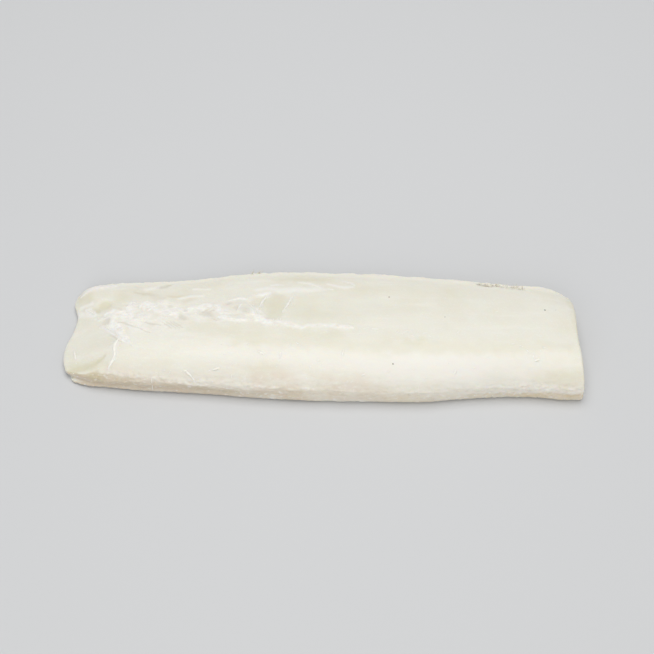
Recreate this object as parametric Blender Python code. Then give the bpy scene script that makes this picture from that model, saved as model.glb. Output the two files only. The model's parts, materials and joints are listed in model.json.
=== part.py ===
"""A loin of salted dried cod: one slab of skinless fish, made as a single closed solid.

Units are metres and +Z is up. +X runs along the loin to its thick, square-cut end, and +Y runs
from the thick back of the fish to its thin belly edge. The origin is on the flat underside, below
the middle of the slab's box.

The slab starts as a flat grid. The grid is stretched to the loin's outline and lifted to its upper
surface, its border is extruded down in rings that make the cut sides, and the last ring is closed
by the flat underside.
"""

import bmesh
import bpy
import numpy as np

# Driving dimensions, in metres
LENGTH = 0.3455
WIDTH = 0.105
THICKNESS = 0.028

NODE = "cod_loin"
CELLS_ALONG = 96
CELLS_ACROSS = 26
COLOUR = (0.80, 0.77, 0.68, 1.0)

# The long edges: share of WIDTH from the middle line, at a share of the way along
BACK_EDGE = (
    (0.0, -0.285), (0.04, -0.352), (0.12, -0.398), (0.25, -0.430), (0.43, -0.482), (0.60, -0.500),
    (0.71, -0.500), (0.77, -0.479), (0.90, -0.464), (0.98, -0.486), (1.0, -0.485),
)
BELLY_EDGE = (
    (0.0, 0.365), (0.03, 0.408), (0.08, 0.425), (0.24, 0.452), (0.35, 0.500), (0.54, 0.500),
    (0.72, 0.456), (0.90, 0.388), (0.965, 0.364), (1.0, 0.285),
)

# The two ends: share of LENGTH from the narrow end, at a share of the way from back to belly
NARROW_END = (
    (0.0, 0.008), (0.13, 0.001), (0.27, 0.001), (0.47, 0.0125), (0.67, 0.0185), (0.88, 0.009), (1.0, 0.020),
)
THICK_END = ((0.0, 0.998), (0.12, 0.997), (0.45, 0.994), (0.80, 0.998), (1.0, 0.996))

# The upper surface: the crest's height as a share of THICKNESS, at a share of the way along, and
# the height as a share of the crest's, at a share of the way from back to belly
CREST = ((0.0, 0.70), (0.10, 0.75), (0.25, 0.89), (0.45, 0.98), (0.62, 1.0), (0.76, 1.0), (0.88, 0.96), (1.0, 0.90))
SECTION = (
    (0.0, 0.50), (0.035, 0.66), (0.09, 0.81), (0.17, 0.94), (0.26, 1.0), (0.40, 0.965), (0.60, 0.86),
    (0.80, 0.68), (0.93, 0.50), (1.0, 0.33),
)

# The slanting cut that takes the narrow end down to a thin lip
LIP = 0.0052
SLANT_RUN = ((0.0, 0.040), (0.2, 0.034), (0.45, 0.036), (0.65, 0.026), (0.85, 0.024), (1.0, 0.022))
SLANT_TOP = 0.0195
SLANT_ROUNDING = 0.0022

# Shallow dents in the upper surface, in metres: the middle, from the narrow end and from the middle
# line, the half-sizes and the depth. They are the knife's hollow, the slanting valley in the cut and
# the groove that the backbone left.
DENTS = (
    ((0.026, 0.017), (0.009, 0.006), 0.0014),
    ((0.019, -0.0265), (0.012, 0.0035), 0.0011),
    ((0.190, 0.012), (0.075, 0.006), 0.0006),
)

# The cut sides, from the upper rim to the underside: share of the rim's height and distance outwards
WALL = ((0.88, 0.0007), (0.62, 0.0010), (0.46, 0.0009), (0.34, 0.0010), (0.10, 0.0012), (0.0, -0.0012))
SEAM_RING = 2
SEAM_DEPTH = 0.0026
SEAM_END = 0.42
STEP_ALONG = 0.0045
STEP_OUT = 0.0052
STEP_REACH = 0.030


def through(points, at):
    """The value at `at` of a smooth curve that passes through the points."""
    x, y = np.array(points).T
    slope = np.gradient(y, x)
    i = np.clip(np.searchsorted(x, at, side="right") - 1, 0, len(x) - 2)
    gap = x[i + 1] - x[i]
    t = (np.asarray(at) - x[i]) / gap
    keep = (2 * t**3 - 3 * t**2 + 1) * y[i] + (t**3 - 2 * t**2 + t) * gap * slope[i]
    return keep + (3 * t**2 - 2 * t**3) * y[i + 1] + (t**3 - t**2) * gap * slope[i + 1]


def smooth_step(low, high, value):
    t = np.clip((np.asarray(value) - low) / (high - low), 0.0, 1.0)
    return t * t * (3.0 - 2.0 * t)


def lower_of(a, b, rounding):
    """The lower of two heights, with the crease between them rounded."""
    h = np.clip(0.5 + 0.5 * (b - a) / rounding, 0.0, 1.0)
    return b + (a - b) * h - rounding * h * (1.0 - h)


def outline(along, across):
    """The place in plan, from the middle of the box, of a point of the unit grid."""
    start = through(NARROW_END, across) * LENGTH
    end = through(THICK_END, across) * LENGTH
    back = through(BACK_EDGE, along) * WIDTH
    belly = through(BELLY_EDGE, along) * WIDTH
    return start + (end - start) * along - LENGTH / 2, back + (belly - back) * across


def height(along, across, x, y):
    """The height of the upper surface."""
    z = THICKNESS * through(CREST, along) * through(SECTION, across)
    from_end = x + LENGTH / 2 - through(NARROW_END, across) * LENGTH
    slant = LIP + (SLANT_TOP - LIP) * from_end / through(SLANT_RUN, across)
    z = lower_of(z, slant, SLANT_ROUNDING)
    for (middle_x, middle_y), (half_x, half_y), depth in DENTS:
        away = ((x + LENGTH / 2 - middle_x) / half_x) ** 2 + ((y - middle_y) / half_y) ** 2
        z -= depth * np.exp(-away)
    return z


def spaced(cells, tightness):
    """Grid lines from 0 to 1 that crowd towards both ends."""
    t = np.linspace(0.0, 1.0, cells + 1)
    return (1 - tightness) * t + tightness * (0.5 - 0.5 * np.cos(np.pi * t))


def rim_of(bm):
    """The open border's vertices, in order round the slab."""
    edge = next(e for e in bm.edges if e.is_boundary)
    first, here = edge.verts
    ring = [first, here]
    while True:
        edge = next(e for e in here.link_edges if e.is_boundary and e is not edge)
        here = edge.other_vert(here)
        if here is first:
            return ring
        ring.append(here)


def outwards(ring):
    """Unit directions in plan that point out of the slab at each vertex of the ring."""
    place = np.array([v.co[:2] for v in ring])
    along = np.roll(place, -1, axis=0) - np.roll(place, 1, axis=0)
    normal = np.stack([along[:, 1], -along[:, 0]], axis=1)
    normal /= np.linalg.norm(normal, axis=1)[:, None]
    outside = np.sum(normal * place, axis=1).sum()
    return place, normal if outside > 0 else -normal


def upper_surface():
    bm = bmesh.new()
    bmesh.ops.create_grid(bm, x_segments=CELLS_ALONG, y_segments=CELLS_ACROSS, size=0.5)
    along_lines = spaced(CELLS_ALONG, 0.35)
    across_lines = spaced(CELLS_ACROSS, 0.55)
    for vert in bm.verts:
        along = along_lines[round((vert.co.x + 0.5) * CELLS_ALONG)]
        across = across_lines[round((vert.co.y + 0.5) * CELLS_ACROSS)]
        x, y = outline(along, across)
        vert.co = x, y, height(along, across, x, y)
    return bm


def add_sides(bm):
    """Extrudes the rim down ring by ring, with a seam between two layers of flesh along the back."""
    rim = rim_of(bm)
    place, normal = outwards(rim)
    top = np.array([v.co.z for v in rim])
    from_end = place[:, 0] + LENGTH / 2
    on_back = smooth_step(0.3, 0.7, -normal[:, 1])
    at_corner = (1 - smooth_step(0.0, STEP_REACH, from_end)) * (1 - smooth_step(-0.25, 0.05, place[:, 1] / WIDTH))
    seam = SEAM_DEPTH * (1 - smooth_step(0.12, SEAM_END, from_end / LENGTH)) * np.maximum(on_back, at_corner)
    ring = rim
    for number, (share, out) in enumerate(WALL):
        edges = [e for e in bm.edges if e.is_boundary]
        made = bmesh.ops.extrude_edge_only(bm, edges=edges)
        below = {}
        for vert in (v for v in made["geom"] if isinstance(v, bmesh.types.BMVert)):
            above = next(e.other_vert(vert) for e in vert.link_edges if e.other_vert(vert) in set(ring))
            below[above] = vert
        ring = [below[v] for v in ring]
        reach = out - (seam if number == SEAM_RING else 0.0)
        moved = place + normal * np.reshape(reach, (-1, 1))
        if number >= SEAM_RING:
            moved[:, 0] += STEP_ALONG * at_corner
            moved[:, 1] -= STEP_OUT * at_corner
        for vert, where, z in zip(ring, moved, share * top):
            vert.co = where[0], where[1], z
    bmesh.ops.contextual_create(bm, geom=[e for e in bm.edges if e.is_boundary])


def fit_to_size(bm):
    """Gives the box exactly the driving dimensions, with its underside's middle at the origin."""
    place = np.array([v.co for v in bm.verts])
    low, high = place.min(axis=0), place.max(axis=0)
    scale = np.array([LENGTH, WIDTH, THICKNESS]) / (high - low)
    middle = np.array([(low[0] + high[0]) / 2, (low[1] + high[1]) / 2, low[2]])
    for vert, where in zip(bm.verts, (place - middle) * scale):
        vert.co = where


def main():
    for obj in list(bpy.data.objects):
        bpy.data.objects.remove(obj)
    bm = upper_surface()
    add_sides(bm)
    fit_to_size(bm)
    bmesh.ops.recalc_face_normals(bm, faces=bm.faces)
    mesh = bpy.data.meshes.new(NODE)
    bm.to_mesh(mesh)
    bm.free()
    material = bpy.data.materials.new("cod_flesh")
    material.use_nodes = True
    material.node_tree.nodes["Principled BSDF"].inputs["Base Color"].default_value = COLOUR
    mesh.materials.append(material)
    collection = bpy.data.collections.new("salted_cod")
    bpy.context.scene.collection.children.link(collection)
    collection.objects.link(bpy.data.objects.new(NODE, mesh))


main()
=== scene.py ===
# %% [markdown]
# # A loin of salted dried cod
#
# Salted cod is a fish fillet that has been packed in salt and dried until it is firm. This loin is
# one slab of skinless flesh: cream white, a little translucent, with a soft damp sheen. It lies with
# its thick back towards the camera. One end is cut square and the other is cut on a slant.
#
# The solid from the CAD step fixes the size and the main form. This lesson dresses it: it gives the
# flesh its relief, its veil of connective tissue and its cut faces, and then adds the small things
# that sit on it. Sizes are in metres, written as so many `MM`.

import json
import math

import bmesh
import bpy
import numpy as np
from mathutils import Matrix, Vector, noise

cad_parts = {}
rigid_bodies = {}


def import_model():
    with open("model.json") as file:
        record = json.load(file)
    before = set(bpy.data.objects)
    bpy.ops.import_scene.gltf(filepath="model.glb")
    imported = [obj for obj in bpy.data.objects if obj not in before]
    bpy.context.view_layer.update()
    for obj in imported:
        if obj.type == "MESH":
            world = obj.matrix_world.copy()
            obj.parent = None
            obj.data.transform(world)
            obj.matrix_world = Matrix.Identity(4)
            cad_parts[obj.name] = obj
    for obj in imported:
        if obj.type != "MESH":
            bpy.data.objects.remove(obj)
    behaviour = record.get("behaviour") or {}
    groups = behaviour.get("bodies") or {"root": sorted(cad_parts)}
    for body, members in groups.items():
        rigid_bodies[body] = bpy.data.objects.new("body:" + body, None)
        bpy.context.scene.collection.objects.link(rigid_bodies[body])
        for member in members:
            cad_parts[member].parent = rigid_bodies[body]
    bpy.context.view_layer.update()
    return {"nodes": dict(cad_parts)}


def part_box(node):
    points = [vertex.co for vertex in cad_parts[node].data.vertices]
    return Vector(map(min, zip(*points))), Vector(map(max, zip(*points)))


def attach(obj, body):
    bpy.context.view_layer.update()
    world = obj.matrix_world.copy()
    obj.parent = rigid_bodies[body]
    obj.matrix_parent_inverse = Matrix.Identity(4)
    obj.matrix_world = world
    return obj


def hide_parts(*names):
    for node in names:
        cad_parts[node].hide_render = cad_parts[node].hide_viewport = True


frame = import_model()
MM = 0.001
solid = frame["nodes"]["cod_loin"]
low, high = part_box("cod_loin")
print("loin", [round(side / MM, 1) for side in high - low], "mm")

# %% [markdown]
# ## New objects
#
# Blender keeps a shape and its place apart: a mesh holds the shape, and an object holds the place.
# Each piece here is edited as a loose shape and gets an object when it is done. The object stays at
# the origin, unturned and unscaled, so every place is in the mesh, as in the CAD solid. A piece that
# modifiers make is turned into a plain mesh in the same way.


# %% Put a shape into the scene
def new_object(name, data):
    """An object at the origin, for a mesh, a curve, a camera or a light."""
    made = bpy.data.objects.new(name, data)
    bpy.context.scene.collection.objects.link(made)
    return made


def mesh_from(bm, name):
    """The mesh of an edited shape."""
    mesh = bpy.data.meshes.new(name)
    bm.to_mesh(mesh)
    bm.free()
    return mesh


def as_plain_mesh(obj):
    """Puts the plain mesh that the object's modifiers make in the object's place."""
    graph = bpy.context.evaluated_depsgraph_get()
    mesh = bpy.data.meshes.new_from_object(obj.evaluated_get(graph))
    name = obj.name
    bpy.data.objects.remove(obj)
    mesh.name = name
    return new_object(name, mesh)


# %% [markdown]
# ## Writing node trees as sums
#
# A material is a graph of nodes, and so is a Geometry Nodes modifier. Placing each Math node by hand
# makes long code that hides the sum it works out. Here a small class stands for one output of a
# node, and Python's own operators add the Math nodes, so a mask can be written `1 - veil * 0.5`.


# %% A value in a node tree
class Value:
    """One output of a node. Arithmetic on it adds Math nodes to the same tree."""

    def __init__(self, tree, socket):
        self.tree, self.socket = tree, socket

    def other(self, name):
        """Another output of the same node."""
        return Value(self.tree, self.socket.node.outputs[name])

    def maths(self, operation, *values, clamp=False):
        return self.tree.add("ShaderNodeMath", {"operation": operation, "use_clamp": clamp}, values)

    def __add__(self, other):
        return self.maths("ADD", self, other)

    def __sub__(self, other):
        return self.maths("SUBTRACT", self, other)

    def __rsub__(self, other):
        return self.maths("SUBTRACT", other, self)

    def __mul__(self, other):
        return self.maths("MULTIPLY", self, other)

    __radd__, __rmul__ = __add__, __mul__

    def clamped(self):
        return self.maths("ADD", self, 0.0, clamp=True)

    def rising(self, start, end):
        """0 below start, 1 above end, and smooth between."""
        made = {"Value": self, "From Min": start, "From Max": end}
        return self.tree.add("ShaderNodeMapRange", {"interpolation_type": "SMOOTHSTEP"}, made)


# %% A node tree
class Tree:
    """A shader or geometry tree. `add` makes any node from its type, its settings and its inputs."""

    def __init__(self, nodes_of):
        self.nodes, self.links = nodes_of.nodes, nodes_of.links

    def join(self, value, socket):
        if isinstance(value, Value):
            self.links.new(value.socket, socket)
        elif value is not None:
            socket.default_value = value

    def add(self, kind, settings=None, inputs=(), out=0):
        node = self.nodes.new(kind)
        for name, setting in (settings or {}).items():
            setattr(node, name, setting)
        pairs = inputs.items() if isinstance(inputs, dict) else enumerate(inputs)
        for name, value in pairs:
            self.join(value, node.inputs[name])
        return Value(self, node.outputs[out]) if node.outputs else None

    def mixed(self, share, first, second):
        """The first colour, with a share of the second over it."""
        colours = {0: share, 6: first, 7: second}
        return self.add("ShaderNodeMix", {"data_type": "RGBA"}, colours, out=2)


# %% Colours
def linear(red, green, blue):
    """A colour as Blender stores it, from the 0 to 255 numbers that a screen shows."""
    share = [value / 255 for value in (red, green, blue)]
    return [v / 12.92 if v <= 0.04045 else ((v + 0.055) / 1.055) ** 2.4 for v in share] + [1.0]


# %% A new finish
def new_finish(name):
    """A material, with its tree, its shader and the place on the object that its patterns read."""
    made = bpy.data.materials.new(name)
    made.use_nodes = True
    tree = Tree(made.node_tree)
    where = tree.add("ShaderNodeTexCoord", out="Object")
    return made, tree, made.node_tree.nodes["Principled BSDF"], where


# %% [markdown]
# ## A finer skin for the slab
#
# The CAD solid is made of loose triangles a few millimetres across. Fish flesh shows ridges and pits
# of about a millimetre. So a copy of the solid is welded, its triangles are paired into four-sided
# faces, and a Subdivision Surface splits each of those into sixteen. Quads matter here: subdivided
# triangles leave starry dents that a soft sheen shows up at once.

# %% Weld, pair and subdivide
FINENESS = 2
WELD = 0.002 * MM
BEND = math.radians(60)  # the most that two triangles may bend and still make one quad


def fine_copy(source, name):
    """A copy of the source's mesh, welded, in quads and subdivided, open underneath."""
    bm = bmesh.new()
    bm.from_mesh(source.data)
    bmesh.ops.remove_doubles(bm, verts=bm.verts, dist=WELD)
    under = [face for face in bm.faces if face.normal.z < -0.999]
    bmesh.ops.delete(bm, geom=under, context="FACES")
    bmesh.ops.join_triangles(bm, faces=bm.faces, angle_face_threshold=BEND, angle_shape_threshold=BEND)
    made = new_object(name, mesh_from(bm, name))
    finer = made.modifiers.new("finer", "SUBSURF")
    finer.levels = finer.render_levels = FINENESS
    return as_plain_mesh(made)


flesh = fine_copy(solid, "cod_flesh")
print("flesh, open underneath:", len(flesh.data.vertices), "vertices")

# %% [markdown]
# The underside was taken off first, because one face with a few hundred corners makes the
# subdivision crawl. It goes back as a flat face, sliced both ways into small cells, so that it can
# carry colour and a little relief too.

# %% Close the underside with small cells
CELL = 4 * MM
ON_CUT = 0.01 * MM  # a corner this near to a cut counts as on it


def close_under(obj):
    bm = bmesh.new()
    bm.from_mesh(obj.data)
    rim = [edge for edge in bm.edges if edge.is_boundary]
    bmesh.ops.contextual_create(bm, geom=rim)
    for side in range(2):
        for place in np.arange(low[side] + CELL, high[side], CELL):
            flat = [face for face in bm.faces if face.normal.z < -0.9999]
            parts = set(flat).union(*(face.edges for face in flat), *(face.verts for face in flat))
            where, across = Vector((0, 0, 0)), Vector((0, 0, 0))
            where[side], across[side] = place, 1
            bmesh.ops.bisect_plane(bm, geom=list(parts), plane_co=where, plane_no=across, dist=ON_CUT)
    bmesh.ops.recalc_face_normals(bm, faces=bm.faces)
    open_edges = sum(not edge.is_manifold for edge in bm.edges)
    bm.to_mesh(obj.data)
    bm.free()
    return open_edges


print("open edges:", close_under(flesh), " faces:", len(flesh.data.polygons))

# %% [markdown]
# The veil and the white line that it ends in carry detail of half a millimetre, so the faces under
# them are split in four once more. The rest of the slab doesn't need it, and a piece that is fine
# all over would be too heavy.

# %% Smaller faces under the veil
FINE_BOXES = [((-150, -18), (-26, 22)), ((-26, -13), (24, -3))]


def split_once(obj, boxes):
    """Splits in four the upward faces whose middle lies in one of the boxes, given in millimetres."""
    bm = bmesh.new()
    bm.from_mesh(obj.data)
    inside = set()
    for face in bm.faces:
        at = face.calc_center_median() / MM
        if face.normal.z > 0.3 and any(a[0] < at.x < b[0] and a[1] < at.y < b[1] for a, b in boxes):
            inside.update(face.edges)
    bmesh.ops.subdivide_edges(bm, edges=list(inside), cuts=1, use_grid_fill=True)
    bm.to_mesh(obj.data)
    bm.free()
    return len(obj.data.polygons)


print("faces after the split:", split_once(flesh, FINE_BOXES))

# %% [markdown]
# ## Where everything lies on the flesh
#
# The marks on a fish follow its muscles, so each one has its own place. Two things are enough to
# describe nearly all of them: a ribbon, which is a path with a width, and a blob, which is a turned
# oval. Noise bends both a little, so that no edge looks drawn. Each gives a mask from 0 to 1 for
# every vertex. The masks push the surface in and out, and the material reads them again as
# attributes, so a mark's colour always sits exactly on its relief.
#
# Places are in millimetres: X along the slab, Y across it.

# %% Read the vertices
place = np.empty(len(flesh.data.vertices) * 3)
facing = np.empty_like(place)
flesh.data.vertices.foreach_get("co", place)
flesh.data.vertex_normals.foreach_get("vector", facing)
place = place.reshape(-1, 3) / MM
facing = facing.reshape(-1, 3)
x, y, z = place.T


def rising(start, end, value):
    """0 below start, 1 above end, and smooth between."""
    t = np.clip((value - start) / (end - start), 0, 1)
    return t * t * (3 - 2 * t)


def noise_at(size, seed, detail=3, turn=0.0):
    """Smooth noise from about -1 to 1 at every vertex, with blobs of this size along X, Y and Z."""
    shift = np.array([17.3, 5.1, 11.7]) * seed
    c, s = math.cos(math.radians(turn)), math.sin(math.radians(turn))
    at = np.column_stack([x * c + y * s, y * c - x * s, z]) / np.array(size) + shift
    return np.array([noise.fractal(Vector(point), 1.0, 2.0, detail) for point in at])


wander_x = noise_at((11, 11, 11), 1)
wander_y = noise_at((7, 7, 7), 2)
on_top = rising(0.35, 0.62, facing[:, 2])
print("vertices on the upper surface:", int((on_top > 0.5).sum()))


# %% Ribbons and blobs
def ribbon(path, ragged=1.0, soft=0.5):
    """A mask along a path of (x, y, half-width)."""
    px, py = x + ragged * wander_x, y + ragged * wander_y
    nearest = np.full(len(x), 9.0)
    for (x0, y0, w0), (x1, y1, w1) in zip(path, path[1:]):
        dx, dy = x1 - x0, y1 - y0
        t = np.clip(((px - x0) * dx + (py - y0) * dy) / (dx * dx + dy * dy), 0, 1)
        away = np.hypot(px - x0 - t * dx, py - y0 - t * dy) / (w0 + t * (w1 - w0))
        nearest = np.minimum(nearest, away)
    return 1 - rising(1 - soft, 1 + soft, nearest)


def blob(middle, half, turn=0.0, ragged=1.0, soft=0.5):
    """A mask over a turned oval."""
    px, py = x + ragged * wander_x - middle[0], y + ragged * wander_y - middle[1]
    c, s = math.cos(math.radians(turn)), math.sin(math.radians(turn))
    away = np.hypot((px * c + py * s) / half[0], (py * c - px * s) / half[1])
    return 1 - rising(1 - soft, 1 + soft, away)


def ribbons(paths, ragged=1.0, soft=0.5):
    """One mask over several paths."""
    return np.max([ribbon(path, ragged, soft) for path in paths], axis=0)


def blobs(rows, ragged=1.0, soft=0.5):
    """One mask over several ovals: each row is a middle, two half-widths, a turn and a level."""
    return np.max([level * blob(*oval, ragged, soft) for *oval, level in rows], axis=0)


# %% [markdown]
# ### The veil of connective tissue
#
# Where the loin was pulled off its backbone membrane, a lacy white veil of connective tissue is left
# on the flesh. It starts wide at the slanting cut, narrows along the fish, and ends as one thin
# white line. Lace is noise folded at zero: wherever smooth noise crosses zero, its absolute value
# makes a sharp valley, and those valleys join up into a net.
#
# Lace alone looks like a printed pattern, so the veil is built up as the real one is. A thin milky
# layer lies below. Thick white patches and a soft haze lie on it, sharp rims run where it folds
# over, and small openings and one raised bubble let the flesh show through.

# %% Where the parts of the veil lie
# A path's points are X, Y and half-width.
MILK = [
    (-146, 8, 2.4), (-138, 5, 7.6), (-133, 5, 11), (-128, 5.5, 14.5), (-119, 5, 15), (-110, 6, 13),
    (-103, 4, 10.5), (-96, 4, 8.6), (-88, 4.6, 7.6), (-80, 6, 8.6), (-72, 7, 9.5), (-64, 8.3, 11.5),
    (-56, 8.2, 12), (-48, 6.0, 11), (-42, 0, 6), (-36, -3.4, 4.4), (-30, -5, 3.0),
]
WHITE_PATCHES = [
    [(-128.5, 8.5, 3.6), (-127.6, 13.5, 4.0), (-128, 17, 2.4)],
    [(-119.5, 12.5, 2.6), (-117.5, 15.5, 3.0), (-114.5, 14, 2.4)],
    [(-146, 10.2, 1.0), (-141, 10.6, 1.6), (-134, 10.5, 2.4), (-128, 6, 3.2)],
    [(-110.4, 9.7, 2.2), (-106, 9.2, 3.2), (-101.9, 7.2, 3.4), (-97, 5.0, 2.8)],
    [(-99, 10.5, 1.6), (-94.5, 9.8, 2.4), (-90, 8.8, 1.6)],
    [(-90, 9.5, 1.6), (-84, 11, 2.4), (-76, 12.6, 2.4), (-69.5, 11, 2.4), (-67, 6, 1.6)],
    [(-67, 2.4, 1.6), (-62.5, 0.6, 2.4), (-57, -1.6, 1.8), (-50, -2, 1.7)],
    [(-62, 17.6, 0.8), (-57, 19.4, 1.3), (-50, 17.8, 1.0)],
    [(-44, 21, 0.9), (-38.5, 22.4, 1.4), (-34.5, 23.6, 0.9)],
]
HAZE = [
    [(-114, 17.5, 3), (-104, 16.5, 4), (-95, 13.5, 3.4)],
    [(-67, 13, 2.4), (-61, 17.5, 3.2), (-53, 17.8, 3.2), (-47.5, 15, 2.4)],
    [(-46, 20, 2.2), (-39, 22.6, 3.2), (-33, 24.6, 1.6)],
]
WHITE_LINE = [
    (-31.6, -2.8, 1.6), (-27.0, -4.3, 2.2), (-22.5, -6.0, 2.0), (-17.6, -7.4, 1.9), (-12.3, -8.4, 1.8),
    (-7.7, -8.0, 1.5), (-2.7, -7.0, 1.6), (2.2, -6.8, 1.6), (6.8, -6.8, 2.0), (10.2, -7.6, 2.2),
    (13.3, -8.5, 2.4), (17.0, -9.3, 2.2), (21.0, -9.8, 1.4),
]
BRIGHT = [(-45.4, 6.2, 1.2), (-44.2, 3.6, 2.2), (-42, 0.4, 3.2), (-37.5, -3.0, 3.0), (-32.6, -4.2, 2.2)]
DRAPE = [
    (-139.4, 4, 2.0), (-138.8, 0.6, 3.6), (-136.8, -3.8, 4.0), (-133.4, -9.0, 3.2),
    (-129.8, -13.8, 2.2), (-126, -18.5, 1.2),
]
DRAPE_EDGE = [
    (-148.5, 0.6, 0.9), (-145, 0.1, 1.6), (-141.6, -2.8, 2.0), (-138.3, -7.0, 1.8),
    (-134.2, -11.0, 1.7), (-129.8, -15.8, 1.4), (-125.8, -18.8, 0.9), (-123.5, -21, 0.4),
]
KNOB = [(-160.6, 18.6, 1.2), (-158.6, 17.2, 2.2), (-156, 15.4, 1.8), (-153.6, 12.6, 0.8)]
HOLLOW_RIM = [
    (-153.5, 8.8, 0.7), (-150.0, 7.4, 1.4), (-146.4, 7.6, 1.1), (-142, 7.4, 1.5), (-138, 6, 1.6),
]
HANGING = [
    (-133.6, -13.0, 1.0), (-134.6, -15.5, 1.6), (-136.5, -20.4, 2.3), (-135.4, -25.3, 1.8),
    (-136.1, -29.0, 1.5), (-137.6, -31.3, 1.7), (-139.4, -34.7, 0.9),
]
TOP_RIM = [
    (-165.5, 31, 1.0), (-161.5, 35.0, 2.8), (-156, 36.6, 3.4), (-149, 37.6, 3.0), (-141, 38.4, 1.4),
]
CLOUD_RIMS = [
    [(-131.4, 11.0, 0.6), (-131.0, 15.0, 0.9), (-128.8, 19.2, 1.1), (-125.2, 18.4, 0.6)],
    [(-122.3, 13.6, 0.6), (-121.2, 17.4, 1.0), (-117.8, 18.8, 1.1), (-113.8, 16.6, 0.8),
     (-112.6, 13.6, 0.5)],
    [(-117.0, 10.2, 0.7), (-113.4, 12.8, 1.2), (-110.8, 15.6, 1.2), (-108.4, 17.8, 0.7)],
    [(-120.4, 11.2, 0.5), (-118.6, 13.4, 0.7), (-115.6, 13.8, 0.5)],
]
OPENINGS = [
    # middle, half-widths, turn, level
    ((-91.8, 2.6), (3.6, 2.0), -32, 0.8), ((-75.6, 4.9), (4.8, 2.3), -22, 0.80),
    ((-143.6, 4.0), (3.4, 2.0), 10, 0.7), ((-57.3, 3.2), (4.4, 1.1), 4, 0.4),
    ((-90.5, 9.2), (1.5, 1.1), 0, 0.6), ((-102.5, 13.4), (2.3, 1.3), 0, 0.5),
    ((-50.0, 7.2), (3.2, 2.4), -15, 0.60), ((-56.6, 9.7), (2.2, 1.5), 10, 0.5),
    ((-62.0, 14.6), (2.2, 1.6), 0, 0.6), ((-117.0, 13.0), (3.0, 1.9), 0, 0.35),
]
LOW_MIST = [(-124, -5, 9), (-106, -9, 7), (-94, -11, 4)]
BUBBLE = ((-55.5, 11.0), (9.5, 5.6), 0)
BUBBLE_RIDGE = [(-53.2, 13.4, 0.5), (-54.6, 10.6, 0.8), (-55.8, 7.6, 0.5)]
EDGES = [
    # path, how ragged, how soft and level
    (WHITE_LINE, 0.9, 0.8, 0.74),
    (BRIGHT, 1.2, 0.6, 1.00),
    (DRAPE, 1.2, 0.7, 1.00),
    (DRAPE_EDGE, 0.4, 0.7, 1.00),
    (KNOB, 0.5, 0.6, 1.00),
    (HOLLOW_RIM, 0.5, 0.6, 0.85),
    (HANGING, 0.6, 0.8, 0.70),
    (TOP_RIM, 0.5, 0.8, 0.95),
    *((path, 0.5, 0.7, 1.00) for path in CLOUD_RIMS),
]
print("veil: ", len(EDGES), "edges,", len(WHITE_PATCHES), "patches,", len(OPENINGS), "openings")

# %% Build the veil up
lace = 1 - np.clip(np.abs(noise_at((9.5, 5.2, 6), 3)) * 2.6, 0, 1)
fine_lace = 1 - np.clip(np.abs(noise_at((3.6, 1.9, 2.2), 4)) * 3.0, 0, 1)
slanted = rising(0.0, 0.45, noise_at((9, 1.3, 3), 14, turn=-38))
cloud = rising(-0.30, 0.40, noise_at((10, 6, 6), 13, detail=4))
openings = blobs(OPENINGS, ragged=1.2, soft=0.55)
bubble = blob(*BUBBLE, ragged=1.2, soft=0.4)
ridge = ribbon(BUBBLE_RIDGE, ragged=0.5, soft=0.6)
patches = ribbons(WHITE_PATCHES, ragged=1.6, soft=0.85)
haze = ribbons(HAZE, ragged=2.5, soft=0.9)
milk = ribbon(MILK, ragged=2.4, soft=0.45)
web = np.maximum(lace, 0.8 * fine_lace)
veil = milk * (0.12 + 0.26 * cloud + 0.30 * lace * (0.35 + 0.65 * fine_lace) + 0.20 * slanted * cloud)
veil = np.maximum(veil, haze * (0.32 + 0.24 * cloud))
veil = np.maximum(veil, patches * (0.72 + 0.16 * cloud + 0.22 * web))
veil *= (1 - 0.80 * openings) * (1 - 0.55 * bubble)
for path, ragged, soft, level in EDGES:
    veil = np.maximum(veil, level * ribbon(path, ragged, soft) * (0.65 + 0.35 * web))
veil = np.maximum(veil, 0.6 * ridge)
low_mist = ribbon(LOW_MIST, ragged=5, soft=0.9)
mist = np.maximum(0.7 * milk, 0.8 * low_mist) * (1 - veil) * (1 - 0.9 * openings)
print("veil covers", int((veil > 0.35).sum()), "vertices")
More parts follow.
